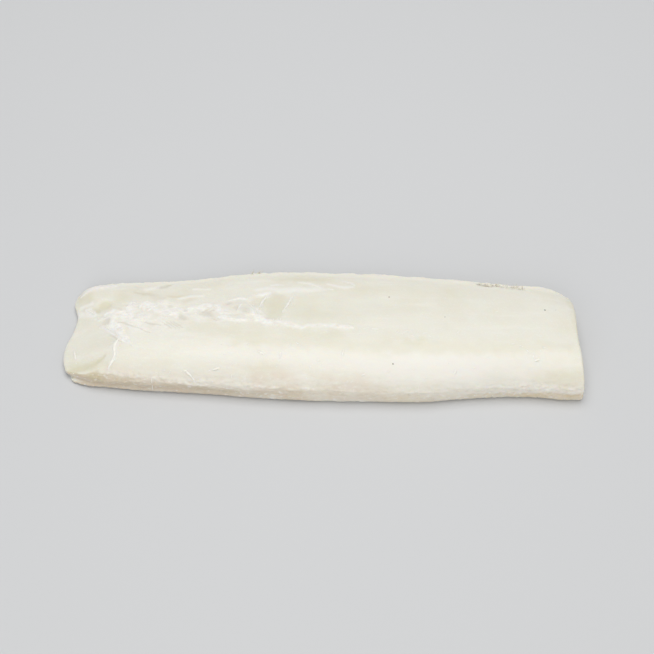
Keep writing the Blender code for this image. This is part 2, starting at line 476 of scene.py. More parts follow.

# %% [markdown]
# ### Glassy flakes, hollows and dark streaks
#
# Beyond the veil two flakes of muscle lie bare. They are smooth, a little sunk and slightly green,
# and thin cream walls part them. Towards the narrow end the knife left a hollow, and the drying left
# tan and olive stains. Fine slanting creases run below the veil, darkened with painted shade, and
# one of them is the painted shadow under the drape's edge. They are kept soft and shallow, because
# a crisp dark line looks drawn on flesh that lets light in.

# %% Where the flakes and stains lie
GLASSY = [
    ((-32.0, 11.4), (13.0, 9.2), 66, 1.0), ((-6, 11), (20, 15), -3, 0.52),
    ((22, 12), (22, 12), 0, 0.42),
]
FLAKE_WALLS = [
    [(-34.5, 22.8, 0.7), (-38.3, 17.3, 0.8), (-40.9, 10.5, 0.7)],
    [(-18.0, 23.4, 0.7), (-20.8, 16, 0.9), (-23.3, 10.3, 0.8), (-25.4, 5.5, 0.6)],
]
PALE_ARCS = [
    [(-34, 32, 0.6), (-30, 33.3, 1.0), (-25.5, 33, 0.6)],
    [(-16, 35.8, 0.6), (-9, 34.6, 1.2), (-3.4, 32.2, 1.5), (1, 28.6, 1.4)],
    [(-44, 28, 2.0), (-36, 29, 2.0), (-28, 26.5, 2.4), (-16, 28, 2.6), (-7, 27.5, 2.4),
     (-1, 28.5, 2.6)],
    [(2, 27, 0.5), (5, 27.6, 0.8), (8.5, 27.4, 0.5)],
    [(4.2, 33.5, 0.8), (10, 31.5, 1.4), (16, 29.5, 1.8), (22, 30.5, 1.0)],
    [(15.2, 36.5, 0.5), (21.3, 34.8, 0.9), (23.3, 31.9, 0.6)],
    [(-87, 31.5, 0.8), (-76, 30, 1.0)],
    [(-96, 21, 0.7), (-88, 23.6, 1.4), (-80, 24, 1.0)],
    [(-165, 21, 0.8), (-156, 22.6, 1.2)],
    [(-166, 16, 2.0), (-160, 15, 2.6), (-154, 12, 1.2)],
    [(-119, 33, 2.2), (-112, 35, 1.6)],
]
HOLLOW = [((-147.0, 18.2), (5.2, 3.8), 12, 1.0), ((-153.5, 15.8), (4.6, 2.0), -20, 1.0)]
STAINS = [
    # middle, half-widths, turn, level
    ((-161, 28), (7, 6), 20, 0.70), ((-151, 29), (6, 5), 0, 0.35), ((-136, 23), (5, 7), 0, 0.55),
    ((-137, 16.5), (6, 3.5), 20, 0.45), ((-125, 29), (9, 4.5), 0, 0.35),
    ((-100, 26), (12, 3.5), 0, 0.25), ((-31.5, 12), (11, 7.5), 68, 0.60),
    ((-42.6, 12), (3.2, 4.6), 0, 0.65), ((-13, 40.5), (17, 4.0), 0, 0.45), ((-6, 3), (13, 5), 0, 0.30),
    ((-13, 13), (10, 8), 0, 0.25), ((-12, -15), (14, 5), 0, 0.45), ((5, -16.5), (9, 5), 0, 0.50),
    ((-42, -14), (15, 7), 0, 0.25), ((-84, -6.5), (12, 5), -8, 0.30), ((-60, -12), (16, 5), 0, 0.20),
    ((35, 27), (18, 5), 0, 0.35), ((85, 26), (50, 7), 0, 0.20), ((62, 36), (18, 4), 0, 0.10),
    ((62, -22), (6, 3), 0, 0.40), ((-38, -39), (9, 4), 0, 0.20), ((116, -44.5), (10, 3.5), 0, 0.35),
    ((153, -36), (11, 5), 0, 0.15), ((155, -44), (13, 3.5), 0, 0.60),
    ((-144.5, -33.5), (9, 3.6), 8, 0.50), ((-163, -28.5), (7, 4), 10, 0.60),
    # This last row only darkens the top along the square end.
    ((170, 8), (2.4, 24), 0, 0.45),
]
RUST = [
    ((-98.6, 23.8), (5.2, 1.2), 2, 0.8), ((-89, 19.4), (4.0, 2.2), 20, 0.5),
    ((-13, 39.0), (16, 1.8), 0, 0.25),
]
SMUDGES = [
    [(-128, 30.5, 1.0), (-120, 27.0, 1.4), (-113, 23.2, 2.4), (-107.5, 22.0, 1.2)],
    [(-112, 34.5, 0.9), (-107, 36, 1.1), (-104, 39, 0.8)],
]
CRACKS = [
    [(-136, 1.5, 0.3), (-131, -0.6, 0.6), (-128.2, -2.0, 0.7), (-124, -4.5, 0.3), (-120, -6.5, 0.35),
     (-113, -10.4, 0.2)],
    [(-116.8, -0.8, 0.4), (-112.8, -2.6, 0.8), (-109.0, -3.6, 0.7), (-106.5, -4.2, 0.3)],
    # This crease is the painted shadow under the drape's edge.
    [(-141.4, -7.8, 0.2), (-138.2, -10.6, 0.3), (-134.2, -14.4, 0.3), (-131.5, -16.8, 0.2)],
    [(-79, 6.8, 0.3), (-77, 8.4, 0.5), (-75.3, 8.8, 0.3)],
    [(-74.2, 7.2, 0.3), (-72.8, 8.2, 0.5), (-71.4, 8.0, 0.3)],
    [(-72.6, 0.4, 0.3), (-70.8, -0.4, 0.45), (-69.4, -1.4, 0.3)],
]
# A comb of slanting creases that lie side by side.
for sx in (-106, -103.3, -100.8, -98.6):
    CRACKS.append([(sx, -1.4, 0.25), (sx + 3.4, -4.0, 0.4), (sx + 6.8, -7.2, 0.25)])
VALLEY = [
    (-166, -31.2, 1.6), (-157.2, -30.6, 2.4), (-150.5, -29.8, 2.4), (-146.9, -28.2, 1.8),
    (-142.5, -25.4, 0.9),
]
print("pale arcs:", len(PALE_ARCS), " stains:", len(STAINS), " creases:", len(CRACKS))

# %% Masks for the flakes and stains
walls = ribbons(FLAKE_WALLS, ragged=0.5)
arcs = ribbons(PALE_ARCS, soft=0.8)
mist = np.maximum(mist, 1.5 * arcs)
glassy = blobs(GLASSY, ragged=1.4, soft=0.3)
glassy *= 1 - np.clip(veil + walls, 0, 1)
hollow = blobs(HOLLOW, ragged=0.8)
stain = blobs(STAINS, ragged=3, soft=0.85)
rust = blobs(RUST, ragged=1.5, soft=0.85)
smudge = ribbons(SMUDGES, ragged=2.2, soft=0.95)
cracks = ribbons(CRACKS, ragged=0.7, soft=0.85)
valley = ribbon(VALLEY, ragged=0.8, soft=0.98)
print("glassy:", int((glassy > 0.5).sum()), " hollow:", int((hollow > 0.5).sum()))

# %% [markdown]
# ### The cut sides
#
# The side towards the camera is where the knife followed the backbone. It is rough, with thin layers
# that run along the fish, and it is darker near the board: partly its dried colour, partly painted
# shade. That dark foot changes along the fish, so a table says, for places along X, how high it
# reaches and which colours it has. The square end shows the flakes end on, as rings that lie inside
# each other. The belly edge is thin and ragged, with one frayed stretch. The underside is a plain cut
# with shallow beds between its flakes.

# %% How the cut sides change along the loin
FLAKE_STEP = 4.6
WALL = [
    # x, top of the dark part (mm), how softly it ends, and how dark (dried colour and painted
    # shade), olive, tan and pink it is
    (-172, 6.5, 1.0, 0.80, 0.2, 0.0, 1.1), (-165, 9.0, 1.0, 0.80, 0.5, 0.0, 1.2),
    (-159, 13.2, 1.0, 1.00, 1.0, 0.0, 1.3), (-155, 14.6, 1.0, 1.00, 1.0, 0.0, 1.3),
    (-150, 13.4, 1.0, 1.00, 1.0, 0.1, 1.3), (-146, 12.8, 1.2, 0.95, 0.9, 0.1, 1.3),
    (-132, 12.0, 1.8, 0.90, 0.5, 0.0, 1.1), (-112, 12.8, 4.0, 0.82, 0.2, 0.0, 0.9),
    (-92, 11.2, 2.5, 0.88, 0.3, 0.0, 0.5), (-69, 9.2, 2.4, 0.88, 0.3, 0.0, 0.8),
    (-46, 9.4, 3.4, 0.58, 0.2, 0.0, 1.8), (-25, 14.0, 5.0, 0.32, 0.1, 0.2, 2.0),
    (-13, 13.5, 4.0, 0.16, 0.2, 0.35, 1.6), (3, 17.5, 4.0, 0.06, 0.2, 0.22, 1.4),
    (20, 14.5, 4.0, 0.00, 0.0, 0.05, 1.2), (52, 13.0, 3.0, 0.00, 0.0, 0.40, 0.7),
    (85, 7.0, 3.0, 0.02, 0.1, 0.25, 0.2), (118, 6.6, 2.0, 0.06, 0.2, 0.50, 0.4),
    (137, 6.4, 1.4, 0.08, 0.0, 0.88, 0.6), (154, 8.6, 2.0, 0.14, 0.1, 0.97, 1.0),
    (167, 8.5, 1.5, 0.08, 0.0, 0.80, 0.8), (172, 7.5, 1.5, 0.04, 0.0, 0.70, 0.6),
]
FRAY = [
    (109, 37.0, 2.0), (113, 36.6, 2.6), (121, 36.8, 2.8), (127, 36.2, 2.4), (134, 35, 2.4),
    (139.5, 32.8, 1.6),
]
FRAY_PITS = [
    # middle, half-widths, turn, level
    ((110.6, 36.9), (3.4, 1.2), -14, 1.0), ((114.8, 36.0), (1.8, 0.9), -8, 0.9),
    ((118.2, 34.9), (1.4, 0.7), 0, 0.6), ((121.4, 37.0), (1.4, 1.2), 0, 0.9),
    ((125.2, 36.0), (1.5, 0.8), -10, 0.7), ((131.6, 35.3), (2.4, 0.8), -8, 0.5),
    ((136.6, 34.0), (1.1, 0.6), 0, 0.5),
]
print("cut side: ", len(WALL), "places along X")

# %% Layers, rings and a ragged edge
front = rising(0.45, 0.8, -facing[:, 1]) * rising(-172, -166, x)
square_end = rising(0.6, 0.9, facing[:, 0])
belly = rising(0.25, 0.75, facing[:, 1])
rim = rising(0.06, 0.45, facing[:, 1]) * rising(1, 4, z)
flank = rising(0.34, 0.74, -facing[:, 1]) * rising(-170, -150, x)
under = rising(0.6, 0.9, -facing[:, 2])
beds = rising(-0.1, 0.5, noise_at((26, 8, 9), 15))
layers = noise_at((12, 5, 1.6), 5)
rough = noise_at((2.4, 2.4, 1.5), 6)
crumb = noise_at((1.6, 1.6, 1.6), 10, detail=2)
band_z = z + 1.1 * rough + 0.8 * layers
WALL_X, *columns = np.array(WALL).T
top, soft, dark, olive_share, tan_share, pink = (np.interp(x, WALL_X, column) for column in columns)
low_wall = rising(0.3, 0.6, -facing[:, 1]) * rising(soft, -soft, band_z - top)
low_belly = belly * rising(9, 6, z)
cut = np.clip(front * rising(17, 11, z) + square_end + 0.6 * low_belly + 0.6 * under, 0, 1)
# The darker foot of the cut side: partly its dried colour, partly painted shade.
dusk = low_wall * dark
olive = low_wall * olive_share * rising(-7.5, -3.5, band_z - top)
brown = low_wall * tan_share
ring = np.hypot((y + 10 + 2.0 * wander_y) / 1.7, z - 9 + 0.8 * wander_x)
gap = 1 - rising(0.0, 0.17, np.abs((ring / FLAKE_STEP) % 1 - 0.5))
fray = ribbon(FRAY, ragged=1.2)
pits = blobs(FRAY_PITS, ragged=0.8, soft=0.6)
ragged_edge = 0.6 * noise_at((17, 12, 9), 7, detail=4) + 0.45 * noise_at((4, 4, 3), 12) - 0.7 * fray
print("cut sides:", int((cut > 0.5).sum()), "vertices")

# %% [markdown]
# ### Push the surface in and out
#
# Each mask now moves the surface along its normal by a fraction of a millimetre. This is real shape,
# not bump in the material, so it also shows from the side and in the mesh itself. The lowest
# millimetre stays where it is, because the loin has to lie flat, and the underside only goes inwards.

# %% Relief
# The numbers are heights in millimetres.
swell = noise_at((34, 22, 22), 8, detail=2)
grain = noise_at((9, 1.5, 1.5), 9)
lift = on_top * (0.35 * swell + 0.05 * grain)
lift += on_top * (
    0.34 * veil + 0.06 * veil * crumb + 0.14 * veil * fine_lace + 0.10 * veil * slanted - 0.26 * openings
)
lift += on_top * (
    0.30 * bubble + 0.20 * ridge + 0.35 * walls + 0.18 * arcs - 0.30 * glassy - 0.6 * hollow
)
lift -= on_top * (0.20 * cracks + 0.35 * valley + 0.12 * smudge)
lift += front * (0.22 * layers + 0.42 * rough + 0.16 * crumb) * rising(20, 12, z)
lift += flank * (1 - front) * (0.07 * rough + 0.07 * layers)
lift += square_end * (-0.38 * gap + 0.10 * rough)
lift += (
    rim * 0.10 * rough
    + belly * (0.75 * ragged_edge + 0.12 * rough)
    + on_top * (0.30 * fray * crumb - 0.35 * pits)
)
lift *= rising(0.2, 1.6, z)
lift -= 0.35 * under * beds
moved = place + facing * lift[:, None]
moved[:, 2] = np.maximum(moved[:, 2], 0)
flesh.data.vertices.foreach_set("co", (moved * MM).ravel())
flesh.data.update()
print("relief from", round(float(lift.min()), 2), "to", round(float(lift.max()), 2), "mm")

# %% [markdown]
# ### Hand the masks to the material
#
# Each mask is stored on the vertices under a name. An Attribute node in the material reads it back,
# and Geometry Nodes can read it as well, to know where grains and fibres may lie. A few masks are
# for colour alone: a painted sheen along the crest, painted shade on the shoulder beyond it and the
# pink flank below it.

# %% Painted crest sheen, painted shoulder shade and beds for the small things
# Where the painted sheen on the crest lies.
CREST_LINE = [
    (-150, -20, 3), (-110, -25, 6), (-60, -27.5, 6), (-10, -32.5, 6.5), (50, -39, 8), (90, -40, 8.5),
    (125, -38, 8), (158, -32, 6),
]
# Where the painted shade on the shoulder lies.
SHOULDER_LINE = [
    (-55, -20, 3.5), (-10, -25, 4.4), (40, -27, 6), (85, -27.5, 6.4), (120, -27, 6.2), (162, -25, 4),
]
FLECK_BAND = [(-110, -32, 9), (0, -32, 9), (140, -32, 10)]
WHISKERS = [[(-75, 50, 3), (-70, 53, 3)], [(-47, 53, 3), (-44, 54, 3)]]

along = np.interp(x, [-150, -92, -40, 50, 105, 150], [0.2, 0.4, 0.8, 1.6, 1.9, 1.0])
# Painted sheen along the crest, where the overhead light shines.
crest = ribbon(CREST_LINE, ragged=2.5, soft=0.5) * along
# Painted shade on the shoulder beyond the crest.
shoulder = ribbon(SHOULDER_LINE, ragged=2.5, soft=0.8)
fleck_band = ribbon(FLECK_BAND, ragged=6, soft=0.9)
whiskers = ribbons(WHISKERS)
raised = rising(2, 5, z)
salty = 0.35 * on_top + 0.45 * front + 0.3 * belly + 0.2 * square_end
print("crest:", int((crest > 0.5).sum()), " shoulder:", int((shoulder > 0.5).sum()), "vertices")

# %% Store the masks
MASKS = {
    "veil": np.clip(veil + 0.5 * walls, 0, 1) * on_top,
    "mist": np.clip(mist + 0.6 * arcs, 0, 2) * on_top,
    "glassy": glassy * on_top,
    "ground": milk * (1 - veil) * on_top,
    "opening": np.clip(openings + (0.15 + 0.3 * lace) * bubble, 0, 1) * (1 - 0.7 * veil) * on_top,
    "stain": np.clip(stain + hollow + 0.9 * valley, 0, 1) * on_top + 0.7 * under * beds,
    "rust": rust * on_top,
    "smudge": np.clip(0.7 * smudge, 0, 1) * on_top,
    # Painted shade in the creases.
    "crease": cracks * on_top,
    "cut": cut,
    # Darker foot of the cut side: dried colour and painted shade.
    "dusk": dusk,
    "olive": olive,
    "brown": brown,
    "ring_gap": gap * square_end,
    # Painted sheen on the crest, only where the surface faces up.
    "crest": crest * rising(0.2, 0.45, facing[:, 2]),
    # Painted shade on the shoulder beyond the crest.
    "shoulder": shoulder * on_top,
    "flank": flank * pink,
    "cut_pink": cut * pink,
    # Painted light on the cut side between 100 and 156 mm along, above its foot.
    "pale_wall": front * rising(100, 122, x) * rising(156, 146, x) * rising(5.4, 7.2, z),
    "rim": rim,
    # Painted highlight along the belly edge, on faces that turn away from the camera.
    "rim_line": rising(0.38, 0.64, facing[:, 1]) * raised,
    # Dark pits of the frayed stretch: partly dried colour, partly painted shade.
    "frayed": np.clip(pits * (on_top + belly), 0, 1),
    "fleck_bed": on_top * (0.10 + 0.90 * fleck_band),
    "salt_bed": np.clip(salty, 0, 1) * rising(0.8, 2.0, z),
    "fray": np.clip(fray * rim * 1.5, 0, 1) * raised,
    "whisker": whiskers * rim * raised,
}
for name, mask in MASKS.items():
    stored = flesh.data.attributes.new(name, "FLOAT", "POINT")
    stored.data.foreach_set("value", mask.astype(np.float32))
flesh.data.shade_smooth()
print("masks:", ", ".join(MASKS))

# %% [markdown]
# ## The flesh's material
#
# Dried cod lets light in a few millimetres and scatters it, so the Principled shader's subsurface
# part carries most of the look. Painting one picture of it would be quick, but a list of layers is
# easier to change: the colour starts as one cream, and each layer lays another colour over it where
# its mask is high. Noise of several sizes breaks the layers up: broad clouds, patches, streaks that
# run with the muscle, crumbs and fine speckle.

# %% Colours of the flesh
CREAM = linear(232, 230, 218)
# Painted sheen on the crest.
CREST_SHEEN = linear(239, 236, 229)
CLOUD = linear(227, 223, 206)
# Painted shade on the shoulder.
SHOULDER_SHADE = linear(223, 219, 200)
WHITE = linear(246, 245, 241)
GROUND = linear(222, 215, 203)
GLASS_GREEN = linear(226, 224, 209)
OPENING_GREY = linear(214, 210, 196)
VEIL_SHADE = linear(236, 233, 227)
TAN = linear(213, 207, 176)
RUSTY = linear(217, 202, 174)
# Painted shade in the creases.
CREASE_SHADE = linear(201, 193, 178)
GREY_BROWN = linear(202, 193, 174)
FLANK_PINK = linear(228, 219, 205)
# Dark pits of the frayed stretch: dried colour and painted shade.
FRAY_PIT_DARK_AND_SHADE = linear(176, 168, 148)
# Painted highlight along the belly rim.
RIM_HIGHLIGHT = linear(247, 244, 230)
CUT_FACE = linear(239, 234, 222)
# Darker foot of the cut side: dried colour and painted shade.
FOOT_DARK_AND_SHADE = linear(208, 193, 172)
OLIVE = linear(199, 190, 160)
BROWN = linear(223, 206, 175)
FLESH_BODY = {
    "Subsurface Weight": 0.30, "Subsurface Radius": (1.0, 0.72, 0.45), "Subsurface Scale": 5 * MM,
    "Specular IOR Level": 0.45, "IOR": 1.38,
}
print("flesh cream:", [round(part, 3) for part in CREAM[:3]])


# %% Flesh material
def flesh_material():
    made, tree, shader, where = new_finish("cod_flesh_finish")

    def mask(name):
        return tree.add("ShaderNodeAttribute", {"attribute_name": name}, out="Fac")

    def speckle(size, detail=3.0, stretch=(1, 1, 1)):
        at = tree.add("ShaderNodeMapping", inputs={"Vector": where, "Scale": stretch})
        return tree.add("ShaderNodeTexNoise", inputs={"Vector": at, "Scale": 1 / size, "Detail": detail})

    clouds = speckle(26 * MM)
    patches = speckle(9 * MM, stretch=(0.5, 1, 1))
    streaks = speckle(5 * MM, stretch=(0.16, 1, 1))
    fine = speckle(1.1 * MM, detail=4)
    crumbs = speckle(2.2 * MM, detail=5, stretch=(0.6, 1, 1))
    net = speckle(2.4 * MM, detail=2, stretch=(0.6, 1, 1))
    web = (1.0 - net.maths("ABSOLUTE", net - 0.5) * 9.0).clamped()
    veil = (mask("veil") * (0.92 + 0.26 * web) + (fine - 0.5) * 0.20).rising(0.0, 1.0)

    wall = (0.35 * mask("flank") + mask("cut") + 0.2 * mask("rim")).clamped()
    tissue = tree.mixed(crumbs.rising(0.34, 0.70), WHITE, VEIL_SHADE)
    layers = [
        # how much of it shows, and its colour
        (clouds.rising(0.42, 0.70) * 0.55, CLOUD),
        (streaks.rising(0.50, 0.78) * 0.22, WHITE),
        (fine.rising(0.50, 0.74) * 0.25, WHITE),
        # Painted shade on the shoulder.
        (mask("shoulder") * 0.45, SHOULDER_SHADE),
        ((mask("flank") * (0.20 + 0.80 * patches.rising(0.38, 0.66)) * 0.7).clamped(), FLANK_PINK),
        (mask("cut") * 0.85, CUT_FACE),
        ((mask("cut_pink") * patches.rising(0.42, 0.66) * 0.5).clamped(), FLANK_PINK),
        # Painted light on the upper cut side.
        (mask("pale_wall") * 0.15, WHITE),
        # Painted sheen on the crest.
        ((mask("crest") * 0.40).clamped(), CREST_SHEEN),
        # Darker foot of the cut side: dried colour and painted shade.
        (mask("dusk") * (0.60 + 0.50 * patches).clamped(), FOOT_DARK_AND_SHADE),
        (mask("olive") * (0.30 + 0.70 * patches.rising(0.36, 0.60)), OLIVE),
        (mask("brown") * (0.55 + 0.45 * patches.rising(0.35, 0.6)), BROWN),
        (wall * crumbs.rising(0.54, 0.70) * 0.28, GREY_BROWN),
        (wall * (1.0 - crumbs).rising(0.56, 0.70) * 0.50, WHITE),
        # Painted highlight along the belly rim.
        (mask("rim_line") * 0.85, RIM_HIGHLIGHT),
        # Dark pits of the frayed stretch: dried colour and painted shade.
        (mask("frayed") * (0.45 + 0.55 * crumbs.rising(0.40, 0.60)), FRAY_PIT_DARK_AND_SHADE),
        (mask("smudge") * (0.25 + 0.45 * streaks.rising(0.35, 0.62)), GREY_BROWN),
        (mask("ground") * (0.15 + 0.32 * patches.rising(0.38, 0.64)), GROUND),
        (mask("glassy") * 0.75, GLASS_GREEN),
        (mask("glassy") * patches.rising(0.50, 0.66) * 0.4, FLANK_PINK),
        (mask("stain") * (0.4 + 0.4 * clouds), TAN),
        (mask("rust") * 0.60, RUSTY),
        (mask("mist") * 0.24, WHITE),
        (veil * 0.85, tissue),
        (mask("opening") * 0.70, OPENING_GREY),
        # Painted shade in the creases.
        (mask("crease") * 0.42, CREASE_SHADE),
        (mask("ring_gap") * 0.5, TAN),
    ]
    colour = CREAM
    for share, over in layers:
        colour = tree.mixed(share, colour, over)
    tree.join(colour, shader.inputs["Base Color"])

    dull = 0.46 + 0.14 * veil - 0.16 * mask("glassy") + 0.16 * mask("cut") + (fine - 0.5) * 0.12
    tree.join(dull, shader.inputs["Roughness"])
    height = fine * 0.5 + speckle(2.2 * MM, stretch=(0.25, 1, 1)) * 0.6 + veil * 0.4 + wall * crumbs * 0.8
    bump = tree.add("ShaderNodeBump", inputs={"Strength": 0.35, "Distance": 0.25 * MM, "Height": height})
    tree.join(bump, shader.inputs["Normal"])
    for name, value in FLESH_BODY.items():
        shader.inputs[name].default_value = value
    return made


flesh.data.materials.clear()
flesh.data.materials.append(flesh_material())
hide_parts("cod_loin")
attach(flesh, "root")
print("flesh material:", len(flesh.data.materials[0].node_tree.nodes), "nodes")

# %% [markdown]
# ## Small things, laid by Geometry Nodes
#
# Salt grains, pale flecks, threads and frayed fibres all follow the surface and repeat, which is
# what Geometry Nodes are for. Two trees do all of it. One scatters a small shape over the flesh,
# more thickly where a mask is high. The other drops curves onto the flesh from above and gives them
# a body, for the threads whose places matter.
#
# A tree's named inputs hold its sizes. They are set on the modifier before it first runs, and then
# the result is kept as a plain mesh that rides with the loin.


# %% A geometry tree and the way to run it
def geometry_tree(name, inputs):
    """An empty tree with these named inputs, besides the geometry."""
    group = bpy.data.node_groups.new(name, "GeometryNodeTree")
    sockets = {"Geometry": "NodeSocketGeometry", **inputs}
    for label, kind in sockets.items():
        group.interface.new_socket(label, in_out="INPUT", socket_type=kind)
    group.interface.new_socket("Geometry", in_out="OUTPUT", socket_type="NodeSocketGeometry")
    tree = Tree(group)
    start = group.nodes.new("NodeGroupInput")
    return group, tree, {label: Value(tree, start.outputs[label]) for label in sockets}


def end_with(tree, geometry, material):
    """The end of every tree: real geometry instead of instances, with its material."""
    real = tree.add("GeometryNodeRealizeInstances", inputs={"Geometry": geometry})
    done = tree.add("GeometryNodeSetMaterial", inputs={"Geometry": real, "Material": material})
    tree.add("NodeGroupOutput", inputs={"Geometry": done})


def run_on(obj, group, values):
    """Runs a tree on an object and leaves what it makes as a plain mesh of the same name."""
    modifier = obj.modifiers.new(group.name, "NODES")
    modifier.node_group = group
    for item in group.interface.items_tree:
        if item.in_out == "INPUT" and item.name in values:
            modifier[item.identifier] = values[item.name]
    made = as_plain_mesh(obj)
    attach(made, "root")
    made.data.calc_loop_triangles()
    print(made.name, len(made.data.loop_triangles), "triangles")


# %% The scattering tree
def scatter_tree():
    floats = ("Per square metre", "Smallest", "Largest", "Sink", "Spin", "Tilt")
    sockets = {name: "NodeSocketFloat" for name in floats}
    sockets |= {"Mask": "NodeSocketString", "Shape": "NodeSocketObject"}
    sockets |= {"Seed": "NodeSocketInt", "Material": "NodeSocketMaterial"}
    group, tree, given = geometry_tree("scatter", sockets)

    def between(smallest, largest, seed):
        ends = {2: smallest, 3: largest, "Seed": seed}
        return tree.add("FunctionNodeRandomValue", {"data_type": "FLOAT"}, ends, out=1)

    mask = tree.add("GeometryNodeInputNamedAttribute", {"data_type": "FLOAT"}, {"Name": given["Mask"]})
    amount = mask * given["Per square metre"]
    spread = {"Mesh": given["Geometry"], "Density": amount, "Seed": given["Seed"]}
    points = tree.add("GeometryNodeDistributePointsOnFaces", inputs=spread)
    spin = between(given["Spin"] * -1, given["Spin"], given["Seed"])
    tilt = between(given["Tilt"] * -1, given["Tilt"], given["Seed"] + 7)
    turn = tree.add("ShaderNodeCombineXYZ", inputs=[tilt, tilt * 0.6, spin])
    turn = {0: points.other("Rotation"), 1: turn}
    turned = tree.add("FunctionNodeRotateRotation", {"rotation_space": "LOCAL"}, turn)
    size = between(given["Smallest"], given["Largest"], given["Seed"] + 3)
    inwards = {0: points.other("Normal"), "Scale": given["Sink"] * -1}
    sunk = tree.add("ShaderNodeVectorMath", {"operation": "SCALE"}, inwards)
    placed = tree.add("GeometryNodeSetPosition", inputs={"Geometry": points, "Offset": sunk})
    shape = tree.add("GeometryNodeObjectInfo", inputs={"Object": given["Shape"]}, out="Geometry")
    laid = {"Points": placed, "Instance": shape, "Rotation": turned, "Scale": size}
    end_with(tree, tree.add("GeometryNodeInstanceOnPoints", inputs=laid), given["Material"])
    return group


scatter = scatter_tree()
print("scatter tree:", len(scatter.nodes), "nodes")


# %% The small shapes
def small_shape(name, fill):
    """A helper of unit size that the scattering tree copies. It is deleted at the end."""
    bm = bmesh.new()
    fill(bm)
    return new_object(name, mesh_from(bm, name))


def lens(length, width, height, bend=0.0):
    """Fills a mesh with a flat seed shape, bent sideways if asked."""
    def fill(bm):
        bmesh.ops.create_icosphere(bm, subdivisions=2, radius=1)
        for vert in bm.verts:
            along, aside, up = vert.co
            taper = 1 - 0.45 * abs(along)
            vert.co = (along * length, aside * width * taper + bend * along**2, up * height)
    return fill


def crystal(bm):
    """A salt crystal: a cube with its edges and corners worn off."""
    bmesh.ops.create_cube(bm, size=1)
    bmesh.ops.bevel(bm, geom=bm.edges, offset=0.13, segments=1, affect="EDGES")


FIBRE_SIDES = 5
FIBRE_RINGS = 7


def fibre(bm):
    """A limp fibre that leaves the surface and droops: a tapering tube."""
    turns = np.arange(FIBRE_SIDES) * math.tau / FIBRE_SIDES
    rings = []
    for step in range(FIBRE_RINGS):
        t = step / (FIBRE_RINGS - 1)
        radius = 0.075 * (1 - 0.75 * t)
        middle = Vector((0.16 * math.sin(2.6 * t), -0.42 * t * t, 1.0 * t - 0.25 * t * t))
        ring = [middle + radius * Vector((math.cos(turn), math.sin(turn), 0)) for turn in turns]
        rings.append([bm.verts.new(corner) for corner in ring])
    for lower, upper in zip(rings, rings[1:]):
        for a in range(FIBRE_SIDES):
            b = (a + 1) % FIBRE_SIDES
            bm.faces.new((lower[a], lower[b], upper[b], upper[a]))
    bm.faces.new(rings[0][::-1])
    bm.faces.new(rings[-1])


SHAPES = {
    "fleck": small_shape("fleck", lens(1.0, 0.24, 0.14)),
    "strand": small_shape("strand", lens(1.0, 0.075, 0.05, bend=0.22)),
    "grain": small_shape("grain", crystal),
    "fibre": small_shape("fibre", fibre),
}
print("shapes:", ", ".join(SHAPES))


# %% [markdown]
# ### Finishes for the small things
#
# Each finish changes a little over its surface, because a thing of one flat colour looks like
# plastic. Tissue, flecks and threads are off-white, salt is bright and glassy, fibres have the grey
# of dried flesh, and the few dark specks are bits of dried membrane. One function makes them all.


# %% Small finishes
def small_finish(name, light, dark, size, dull, see_in):
    made, tree, shader, where = new_finish(name)
    patch = tree.add("ShaderNodeTexNoise", inputs={"Vector": where, "Scale": 1 / size, "Detail": 3.0})
    colour = tree.mixed(patch.rising(0.35, 0.68), linear(*dark), linear(*light))
    tree.join(colour, shader.inputs["Base Color"])
    tree.join(dull + (patch - 0.5) * 0.2, shader.inputs["Roughness"])
    shader.inputs["Subsurface Weight"].default_value = see_in
    shader.inputs["Subsurface Radius"].default_value = (1.0, 0.9, 0.75)
    shader.inputs["Subsurface Scale"].default_value = 0.6 * MM
    return made


SMALL_FINISHES = {
    # name: light and dark colour, size of its patches, how dull it is and how much light goes in
    "tissue": ((244, 241, 229), (237, 233, 218), 2.5 * MM, 0.5, 0.3),
    "salt": ((250, 250, 248), (236, 235, 230), 0.5 * MM, 0.25, 0.3),
    "fleck": ((248, 246, 237), (240, 237, 226), 2.0 * MM, 0.5, 0.3),
    "thread": ((245, 243, 234), (237, 234, 224), 2.0 * MM, 0.6, 0.3),
    "fibre": ((238, 234, 222), (206, 201, 187), 3 * MM, 0.65, 0.1),
    "speck": ((120, 112, 92), (74, 66, 50), 0.6 * MM, 0.6, 0.0),
}
FINISHES = {name: small_finish(name + "_finish", *row) for name, row in SMALL_FINISHES.items()}
print("finishes:", ", ".join(FINISHES))


# %% Scatter them
FIRST_SEED = 11
SCATTERED = {
    # name: shape, finish, mask, per square metre, smallest and largest (mm), sink (mm), spin, tilt
    "veil_strands": ("strand", "tissue", "veil", 26000, 1.4, 3.6, 0.0, 3.14, 0.05),
    "pale_flecks": ("fleck", "fleck", "fleck_bed", 5200, 0.35, 1.15, 0.0, 3.14, 0.08),
    "salt_grains": ("grain", "salt", "salt_bed", 11000, 0.25, 0.62, 0.05, 3.14, 3.14),
    "frayed_fibres": ("fibre", "fibre", "fray", 420000, 1.4, 3.6, 0.1, 3.14, 0.8),
    "rim_whiskers": ("fibre", "fibre", "whisker", 160000, 3.0, 6.5, 0.1, 3.14, 0.7),
}
for number, (name, row) in enumerate(SCATTERED.items()):
    shape, finish, mask, thickly, smallest, largest, sink, spin, tilt = row
    # The piece starts as a copy of the flesh, whose masks the tree reads.
    run_on(new_object(name, flesh.data.copy()), scatter, {
        "Shape": SHAPES[shape], "Material": FINISHES[finish], "Mask": mask,
        "Per square metre": float(thickly), "Smallest": smallest * MM, "Largest": largest * MM,
        "Sink": sink * MM, "Spin": spin, "Tilt": tilt, "Seed": FIRST_SEED + number,
    })


